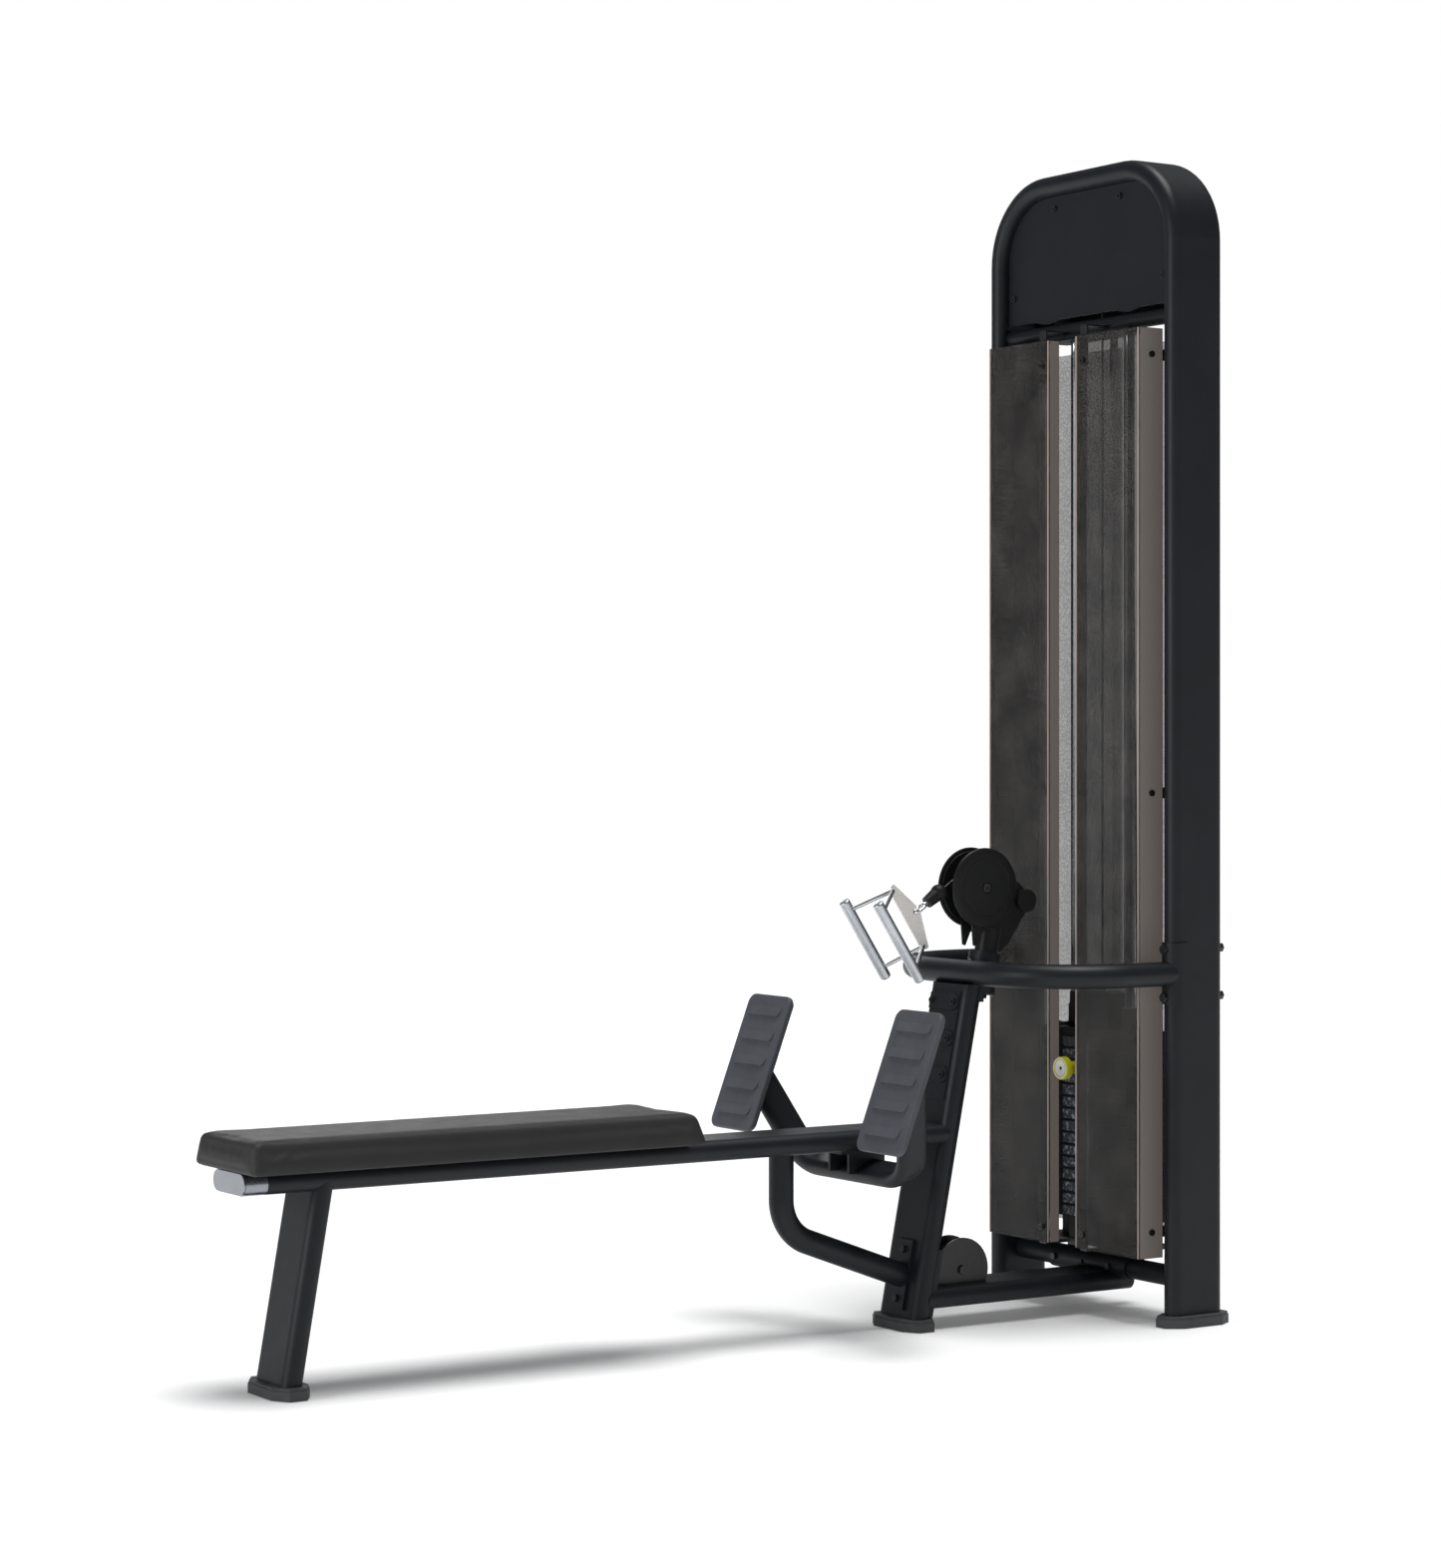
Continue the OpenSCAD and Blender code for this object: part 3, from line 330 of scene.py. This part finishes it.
def node_group(name, sizes):
    """An empty Geometry Nodes tree whose inputs are the named sizes, with their defaults."""
    tree = bpy.data.node_groups.new(name, "GeometryNodeTree")
    tree.interface.new_socket("Geometry", in_out="INPUT", socket_type="NodeSocketGeometry")
    for label, value in sizes.items():
        kind = ("NodeSocketInt" if isinstance(value, int) else "NodeSocketVector"
                if hasattr(value, "__len__") else "NodeSocketFloat")
        socket = tree.interface.new_socket(label, in_out="INPUT", socket_type=kind)
        socket.default_value = value
    tree.interface.new_socket("Geometry", in_out="OUTPUT", socket_type="NodeSocketGeometry")
    return tree, tree.nodes.new("NodeGroupInput"), tree.nodes.new("NodeGroupOutput")


def repeat_in_line(name, unit, count, first, step, material, body):
    """Copies a unit mesh along a line with Geometry Nodes and bakes the row into one piece."""
    tree, given, out = node_group(name + "_row", {"Count": count, "First": first, "Step": step})
    line = tree.nodes.new("GeometryNodeMeshLine")
    place = tree.nodes.new("GeometryNodeInstanceOnPoints")
    real = tree.nodes.new("GeometryNodeRealizeInstances")
    paint = tree.nodes.new("GeometryNodeSetMaterial")
    paint.inputs["Material"].default_value = material
    link = tree.links.new
    link(given.outputs["Count"], line.inputs["Count"])
    link(given.outputs["First"], line.inputs["Start Location"])
    link(given.outputs["Step"], line.inputs["Offset"])
    link(line.outputs["Mesh"], place.inputs["Points"])
    link(given.outputs["Geometry"], place.inputs["Instance"])
    link(place.outputs["Instances"], real.inputs["Geometry"])
    link(real.outputs["Geometry"], paint.inputs["Geometry"])
    link(paint.outputs["Geometry"], out.inputs[0])
    source = bpy.data.objects.new(name + "_unit", unit)
    bpy.context.scene.collection.objects.link(source)
    source.modifiers.new("row", "NODES").node_group = tree
    bpy.context.view_layer.update()
    baked = bpy.data.meshes.new_from_object(
        source.evaluated_get(bpy.context.evaluated_depsgraph_get()))
    baked.name = name
    bpy.data.objects.remove(source)
    return place_piece(name, baked, material, body)


def rounded_tile(name, width, height, thick, radius, steps=5):
    """A thin tile in the XZ plane with round corners, its face towards -Y."""
    bm = bmesh.new()
    rim = []
    for cx, cz, start in ((1, 1, 0), (-1, 1, 90), (-1, -1, 180), (1, -1, 270)):
        for i in range(steps + 1):
            a = math.radians(start + 90 * i / steps)
            rim.append(bm.verts.new((cx * (width / 2 - radius) + radius * math.cos(a), 0,
                                     cz * (height / 2 - radius) + radius * math.sin(a))))
    face = bm.faces.new(rim)
    grown = bmesh.ops.extrude_face_region(bm, geom=[face])["geom"]
    for v in grown:
        if isinstance(v, bmesh.types.BMVert):
            v.co.y -= thick
    return from_bmesh(name, bm)


# Each plate carries a slate label with pale worn print, stuck to its front.
label_print, label_tree, label_shader = new_material("label_print")
print_place = label_tree.nodes.new("ShaderNodeTexCoord")
print_stretch = label_tree.nodes.new("ShaderNodeMapping")
print_stretch.inputs["Scale"].default_value = (1.0, 1.0, 0.9)
print_noise = label_tree.nodes.new("ShaderNodeTexNoise")
print_noise.inputs["Scale"].default_value = 120
print_noise.inputs["Detail"].default_value = 2
label_tree.links.new(print_place.outputs["Object"], print_stretch.inputs["Vector"])
label_tree.links.new(print_stretch.outputs["Vector"], print_noise.inputs["Vector"])
label_tree.links.new(
    between(label_tree, print_noise.outputs["Fac"], (0.075, 0.090, 0.115), (0.62, 0.66, 0.72),
            0.50, 0.72), label_shader.inputs["Base Color"])
label_shader.inputs["Roughness"].default_value = 0.42
plate_low, plate_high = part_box("resting_plates")
top_low, top_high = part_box("lifted_plates")
plate_pitch, plate_thick = 0.0245, 0.0235
label_wide, label_tall, label_thick, label_centre = 0.084, 0.0185, 0.0006, -0.018
label_unit = rounded_tile("label_unit", label_wide, label_tall, label_thick, 0.002)
label_unit.transform(Matrix.Translation((label_centre, 0, 0)))
# Each label's right half is a bare cream panel.
cream = finish("label_cream", (0.62, 0.54, 0.49), (0.76, 0.67, 0.61), 0.5, fleck=300, cloud=60)
cream_unit = rounded_tile("cream_unit", 0.038, 0.0155, label_thick + 0.0002, 0.002)
cream_unit.transform(Matrix.Translation((label_centre + 0.0205, 0, 0)))
for name, low, high, body in (("resting_labels", plate_low, plate_high, "frame"),
                              ("lifted_labels", top_low, top_high, "stack")):
    rows = round((high.z - low.z + plate_pitch - plate_thick) / plate_pitch)
    first = (0, low.y, low.z + plate_thick / 2)
    repeat_in_line(name, label_unit.copy(), rows, first, (0, 0, plate_pitch), label_print, body)
    repeat_in_line(name + "_cream", cream_unit.copy(), rows, first, (0, 0, plate_pitch), cream,
                   body)
nylon = finish("nylon", (0.012, 0.012, 0.013), (0.020, 0.020, 0.021), 0.5, bump=0.1)
dress(nylon, "guide_bushes")

# ---------------------------------------------------------------- cables
# Steel rope in a smooth black nylon jacket, through the whole run from the stack to the handle.
jacket = finish("cable_jacket", (0.006, 0.006, 0.006), (0.011, 0.011, 0.011), 0.3,
                fleck=900, bump=0.08)
dress(jacket, "drive_cable", "pulley_cable", "arm_cable")


def turned(name, profile, centre, axis, sides=48, smooth=True):
    """A turned part: (distance along the axis, radius) pairs spun round a line."""
    bm = bmesh.new()
    axis = Vector(axis).normalized()
    across = axis.orthogonal().normalized()
    over = axis.cross(across)
    rings = []
    for along, radius in profile:
        if radius < 1e-6:
            rings.append([bm.verts.new(Vector(centre) + axis * along)])
            continue
        rings.append([bm.verts.new(
            Vector(centre) + axis * along
            + radius * (across * math.cos(2 * math.pi * k / sides)
                        + over * math.sin(2 * math.pi * k / sides))) for k in range(sides)])
    for a, b in zip(rings, rings[1:]):
        for k in range(sides):
            n = (k + 1) % sides
            corners = [a[k % len(a)], a[n % len(a)], b[n % len(b)], b[k % len(b)]]
            unique = list(dict.fromkeys(corners))
            if len(unique) > 2:
                bm.faces.new(unique)
    return from_bmesh(name, bm, smooth)


def running_rope(name, node, foot, run, length):
    """A straight run of rope in short rings, laid from a foot along a direction for a given
    length.
    """
    rings = [(length * i / rope_rings, rope_radius) for i in range(rope_rings + 1)]
    mesh = turned(name, [(0, 0)] + rings + [(length, 0)], foot, run, 16)
    mesh.materials.append(jacket)
    rope = bpy.data.objects.new(name, mesh)
    bpy.context.scene.collection.objects.link(rope)
    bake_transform(rope)
    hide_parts(node)


rope_radius, rope_rings = 0.0025, 60
low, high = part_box("lift_cable")
middle = (low + high) / 2
running_rope("lift_rope", "lift_cable", Vector((middle.x, middle.y, low.z)), Vector((0, 0, 1)),
             high.z - low.z)
pull_angle = math.radians(33.6)
pull_way = Vector((0, -math.cos(pull_angle), -math.sin(pull_angle)))
low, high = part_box("pull_cable")
pull_long = (high.y - low.y - 2 * rope_radius * math.sin(pull_angle)) / math.cos(pull_angle)
running_rope("pull_rope", "pull_cable", (low + high) / 2 - pull_way * pull_long / 2, pull_way,
             pull_long)

# ---------------------------------------------------------------- pulleys and swivel
# Moulded black nylon wheels and the two dished guards of the swivel, on a coated steel yoke.
moulded = finish("moulded_black", (0.0050, 0.0052, 0.0056), (0.0080, 0.0083, 0.0090), 0.5,
                 fleck=1400, bump=0.3, depth=0.0001, specular=0.28)
dress(moulded, "top_pulley", "bottom_pulley", "lower_pulley", "swivel_pulley", "guard_discs",
      "guide_knob", "cable_stop")
yoke_coat = finish("yoke_coat", (0.0060, 0.0064, 0.0074), (0.0092, 0.0096, 0.0110), 0.45,
                   fleck=1100, bump=0.25, specular=0.3)
dress(yoke_coat, "swivel_yoke")

# ---------------------------------------------------------------- pin and knob
# The selector pin's bright yellow knob, a ring round a white dished face.
yellow = finish("yellow_knob", (0.60, 0.58, 0.01), (0.72, 0.69, 0.02), 0.3, bump=0.05)
dress(yellow, "pin_knob")
knob_low, knob_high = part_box("pin_knob")
knob_face = finish("knob_face", (0.80, 0.80, 0.80), (0.88, 0.88, 0.88), 0.35, bump=0.05)
knob_centre = Vector((0, knob_low.y, (knob_low.z + knob_high.z) / 2))
place_piece("knob_dish", turned(
    "knob_dish", [(0.0028, 0), (0.0026, 0.006), (0.0010, 0.0160), (-0.0003, 0.0204),
                  (-0.0003, 0.0210), (0.0003, 0.0214), (0.004, 0.0210), (0.004, 0)],
    knob_centre, (0, 1, 0)),
    knob_face, "pin")
place_piece("knob_screw", turned(
    "knob_screw", [(0.0030, 0), (0.0016, 0.0008), (0.0014, 0.0026), (0.0022, 0.0036),
                   (0.0040, 0.0036), (0.0040, 0)], knob_centre, (0, 1, 0), 24),
    blacked, "pin")

# ---------------------------------------------------------------- pin cord
# A springy coil of thin wire in black plastic, which ties the pin's knob to the head of the
# stack so that it can't be lost. An eye on the head holds its upper end.
def along_route(points, t):
    """The point and direction at fraction t of a polyline's length."""
    spans = [(b - a).length for a, b in zip(points, points[1:])]
    goal = t * sum(spans)
    for a, b, span in zip(points, points[1:], spans):
        if goal <= span or b is points[-1]:
            return a.lerp(b, min(1, goal / span)), (b - a).normalized()
        goal -= span


cord_low, cord_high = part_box("lanyard")
cord_wire, coil_radius, coil_turns, turn_points = 0.0017, 0.0040, 74, 14
outer_r, top_run, bend_points = 0.005, 0.024, 24
bend_r = (cord_high.z - cord_low.z) / 2 - outer_r
bend_x, cord_y = cord_low.x + outer_r + bend_r, cord_low.y + outer_r
mid_z = (cord_low.z + cord_high.z) / 2
route = [Vector((bend_x + top_run, cord_y, mid_z + bend_r))]
for i in range(bend_points + 1):
    a = math.radians(90 + 180 * i / bend_points)
    route.append(Vector((bend_x + bend_r * math.cos(a), cord_y, mid_z + bend_r * math.sin(a))))
route.append(Vector((cord_high.x - 0.0052, cord_y, mid_z - bend_r)))
coil_path = []
steps = coil_turns * turn_points
for i in range(steps + 1):
    point, heading = along_route(route, i / steps)
    across = heading.cross(Vector((0, 1, 0))).normalized()
    turn = 2 * math.pi * coil_turns * i / steps
    coil_path.append(point + coil_radius * (across * math.cos(turn)
                                            + Vector((0, 1, 0)) * math.sin(turn)))
coil_curve = bpy.data.curves.new("pin_cord", "CURVE")
coil_curve.dimensions = "3D"
coil_curve.bevel_depth = cord_wire / 2
coil_curve.bevel_resolution = 2
coil_curve.use_fill_caps = True
coil_line = coil_curve.splines.new("POLY")
coil_line.points.add(len(coil_path) - 1)
for point, co in zip(coil_line.points, coil_path):
    point.co = (*co, 1)
coil_plastic = finish("coil_plastic", (0.020, 0.020, 0.021), (0.030, 0.030, 0.032), 0.22,
                      bump=0.05)
coil_curve.materials.append(coil_plastic)
pin_cord = bpy.data.objects.new("pin_cord", coil_curve)
bpy.context.scene.collection.objects.link(pin_cord)
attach(pin_cord, "stack")
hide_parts("lanyard")
place_piece("cord_eye", turned(
    "cord_eye", [(-0.036, 0), (-0.036, 0.004), (0.0015, 0.004), (0.003, 0.0028), (0.003, 0)],
    route[0], (0, -1, 0), 20), blacked, "stack")

# ---------------------------------------------------------------- bench
# Upholstered pad on a black board over the beam, whose open end is closed by a metal cap.
board_paint = finish("board_paint", (0.010, 0.010, 0.010), (0.016, 0.016, 0.016), 0.6,
                     fleck=300, bump=0.4)
dress(board_paint, "pad_board")
cap_metal = bright_steel("cap_metal", (0.30, 0.31, 0.34), 0.26)
dress(cap_metal, "end_cap")
vinyl = finish("seat_vinyl", (0.0195, 0.0195, 0.020), (0.0225, 0.0225, 0.0232), 0.60,
               fleck=520, bump=0.6, depth=0.0003, specular=0.32)
pad_low, pad_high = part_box("seat_pad")


def pad_ring(bm, z, side, back, front, radius, steps=6):
    """One level of the pad's outline, its corners rounded."""
    ring = []
    lo = Vector((pad_low.x + side, pad_low.y + back, 0))
    hi = Vector((pad_high.x - side, pad_high.y - front, 0))
    for cx, cy, start in ((hi.x, hi.y, 0), (lo.x, hi.y, 90), (lo.x, lo.y, 180),
                          (hi.x, lo.y, 270)):
        sx = -1 if cx == hi.x else 1
        sy = -1 if cy == hi.y else 1
        for i in range(steps + 1):
            a = math.radians(start + 90 * i / steps)
            ring.append(bm.verts.new((cx + sx * radius + radius * math.cos(a),
                                      cy + sy * radius + radius * math.sin(a), z)))
    return ring


pad_bm = bmesh.new()
pad_height = pad_high.z - pad_low.z
levels = [(-0.0085, 0.004, 0.004, 0.004), (-0.0075, 0.0005, 0.0005, 0.0005),
          (0.000, 0.0002, 0.0002, 0.0002), (pad_height - 0.010, 0.0080, 0.0040, 0.0105),
          (pad_height - 0.004, 0.0100, 0.0055, 0.0135),
          (pad_height - 0.0012, 0.0130, 0.0085, 0.0170),
          (pad_height - 0.0004, 0.019, 0.0145, 0.023)]
rings = [pad_ring(pad_bm, pad_low.z + z, s, b, f, 0.012) for z, s, b, f in levels]
for a, b in zip(rings, rings[1:]):
    for k in range(len(a)):
        n = (k + 1) % len(a)
        pad_bm.faces.new((a[k], a[n], b[n], b[k]))
pad_bm.faces.new(list(reversed(rings[0])))
pad_bm.faces.new(rings[-1])
seat = bpy.data.objects.new("seat_cushion", from_bmesh("seat_cushion", pad_bm))
bpy.context.scene.collection.objects.link(seat)


def cook(piece):
    """Applies a piece's modifiers and keeps the result as its mesh."""
    bpy.context.view_layer.update()
    done = bpy.data.meshes.new_from_object(
        piece.evaluated_get(bpy.context.evaluated_depsgraph_get()))
    piece.modifiers.clear()
    piece.data = done


remesh = seat.modifiers.new("even_skin", "REMESH")
remesh.mode = "VOXEL"
remesh.voxel_size = 0.005
cook(seat)
before = [v.co.copy() for v in seat.data.vertices]
held = seat.vertex_groups.new(name="held")
held.add([v.index for v in seat.data.vertices if v.co.z < pad_low.z + 0.004], 1, "REPLACE")
cloth = seat.modifiers.new("stuffing", "CLOTH")
cloth.settings.use_pressure = True
cloth.settings.uniform_pressure_force = 4
cloth.settings.effector_weights.gravity = 0
cloth.settings.vertex_group_mass = "held"
cloth.settings.tension_stiffness = 40
cloth.settings.compression_stiffness = 40
cloth.settings.bending_stiffness = 4
scene = bpy.context.scene
for step in range(1, 16):
    scene.frame_set(step)
cook(seat)
scene.frame_set(1)
swell_cap = 0.0025
for v, was in zip(seat.data.vertices, before):
    move = v.co - was
    if move.length > swell_cap:
        v.co = was + move.normalized() * swell_cap
smooth = seat.modifiers.new("soften", "SMOOTH")
smooth.iterations = 2
smooth.factor = 0.5
finer = seat.modifiers.new("finer", "SUBSURF")
finer.levels = finer.render_levels = 1
cook(seat)
for face in seat.data.polygons:
    face.use_smooth = True
seat.data.materials.clear()
seat.data.materials.append(vinyl)
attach(seat, "frame")
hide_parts("seat_pad")

# ---------------------------------------------------------------- foot plates
# Grey rubber treads moulded over a steel back.
tread_rubber = finish("tread_rubber", (0.054, 0.058, 0.070), (0.070, 0.075, 0.090), 0.60,
                      fleck=800, cloud=20, bump=0.35, depth=0.0002)
dress(powder_coat, "foot_plates")
tread_wide, tread_long, tread_thick, tread_corner = 0.148, 0.279, 0.0130, 0.020
tread_front, tread_back, tread_round = 0.0075, 0.0160, 0.0040
tread_low, tread_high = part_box("foot_treads")
tread_lean = math.radians(21)
step_wide, step_tall, step_lift, step_radius = 0.108, 0.021, 0.0042, 0.008
step_count, step_pitch, step_foot = 5, 0.0510, 0.030


def tread_frame(side):
    """Where a tread sits: X across it, Y into it and Z up it, from the middle of its face."""
    into = Vector((0, math.cos(tread_lean), -math.sin(tread_lean)))
    face = (tread_low + tread_high) / 2 - into * tread_front
    face.x = (tread_high.x - tread_wide / 2) * side
    return Matrix.Translation(face) @ Matrix.Rotation(-tread_lean, 4, "X")


def slab_mesh(name, place):
    """A tread's body, its rim rounded over."""
    tile = rounded_tile(name, tread_wide, tread_long, tread_thick, tread_corner, 8)
    tile.transform(Matrix.Translation((0, tread_back, 0)))
    bm = bmesh.new()
    bm.from_mesh(tile)
    rim = [e for e in bm.edges if e.calc_face_angle(0) > 1.2]
    bmesh.ops.bevel(bm, geom=rim, offset=tread_round, segments=4, profile=0.5,
                    affect="EDGES")
    bm.transform(place)
    return from_bmesh(name, bm)


def step_unit(name):
    """One foothold: a ramp that ends below in a lip with rounded corners."""
    bm = bmesh.new()
    half, rounds = step_wide / 2, 6
    rim = [(-half, step_tall), (-half, step_radius)]
    for i in range(1, rounds + 1):
        a = math.radians(180 + 90 * i / rounds)
        rim.append((-half + step_radius + step_radius * math.cos(a),
                    step_radius + step_radius * math.sin(a)))
    for i in range(rounds + 1):
        a = math.radians(270 + 90 * i / rounds)
        rim.append((half - step_radius + step_radius * math.cos(a),
                    step_radius + step_radius * math.sin(a)))
    rim.append((half, step_tall))
    foot = [bm.verts.new((x, 0.001, z)) for x, z in rim]
    lip = [bm.verts.new((x * 0.988, -step_lift * (1 - 0.93 * z / step_tall),
                         0.0007 + z * 0.97)) for x, z in rim]
    for k in range(len(rim)):
        n = (k + 1) % len(rim)
        bm.faces.new((foot[k], foot[n], lip[n], lip[k]))
    bm.faces.new(lip)
    bm.faces.new(list(reversed(foot)))
    return from_bmesh(name, bm)


for side, word in ((-1, "left"), (1, "right")):
    seat_of_tread = tread_frame(side)
    slab = place_piece(f"tread_{word}", slab_mesh(f"tread_{word}", seat_of_tread), tread_rubber,
                       "frame")
    unit = step_unit(f"step_{word}")
    unit.transform(seat_of_tread @ Matrix.Translation((0, tread_back - tread_thick, 0)))
    up = seat_of_tread.to_3x3() @ Vector((0, 0, 1))
    repeat_in_line(f"tread_steps_{word}", unit, step_count,
                   tuple(up * (step_foot - tread_long / 2)),
                   tuple(up * step_pitch), tread_rubber, "frame")
    if side == 1:
        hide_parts("foot_treads")

# ---------------------------------------------------------------- handle
# Bent rod and flat bar, welded and polished, with two knurled steel grips.
plate_steel = bright_steel("brushed_plate", (0.80, 0.77, 0.74), 0.30)
dress(plate_steel, "handle_plate")
knurled = bright_steel("knurled_steel", (0.62, 0.64, 0.67), 0.34)
grip_low, grip_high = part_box("handle_grips")
grip_axis = Vector((0, -math.sin(pull_angle), math.cos(pull_angle)))
grip_radius, grip_long = 0.0109, 0.184
knurl_round, knurl_long, knurl_depth = 30, 110, 0.00010


def knurled_bar(name, x):
    """A steel grip rolled with a diamond knurl, its ends chamfered."""
    centre = Vector((x, (grip_low.y + grip_high.y) / 2, (grip_low.z + grip_high.z) / 2))
    across, over = Vector((1, 0, 0)), grip_axis.cross(Vector((1, 0, 0)))
    bm = bmesh.new()
    profile = [(-0.5, 0.0), (-0.5, 0.76), (-0.493, 0.92), (-0.482, 1.0)]
    profile += [(-0.475 + 0.95 * i / knurl_long, None) for i in range(knurl_long + 1)]
    profile += [(0.482, 1.0), (0.493, 0.92), (0.5, 0.76), (0.5, 0.0)]
    rings = []
    for row, (along, share) in enumerate(profile):
        ring = []
        for k in range(knurl_round * 2):
            raised = ((k + row) % 2) if share is None else 0
            r = max(0, grip_radius * (1 if share is None else share)
                    - (0 if raised else knurl_depth))
            a = math.pi * k / knurl_round
            ring.append(bm.verts.new(centre + grip_axis * along * grip_long
                                     + r * (across * math.cos(a) + over * math.sin(a))))
        rings.append(ring)
    for a, b in zip(rings, rings[1:]):
        for k in range(len(a)):
            n = (k + 1) % len(a)
            bm.faces.new((a[k], a[n], b[n], b[k]))
    bmesh.ops.remove_doubles(bm, verts=bm.verts, dist=0.00001)
    return from_bmesh(name, bm, True)


grip_inset = 0.011
for word, x in (("left", grip_low.x + grip_inset), ("right", grip_high.x - grip_inset)):
    grip = place_piece(f"grip_{word}", knurled_bar(f"grip_{word}", x), knurled, "handle")
    if word == "left":
        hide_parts("handle_grips")
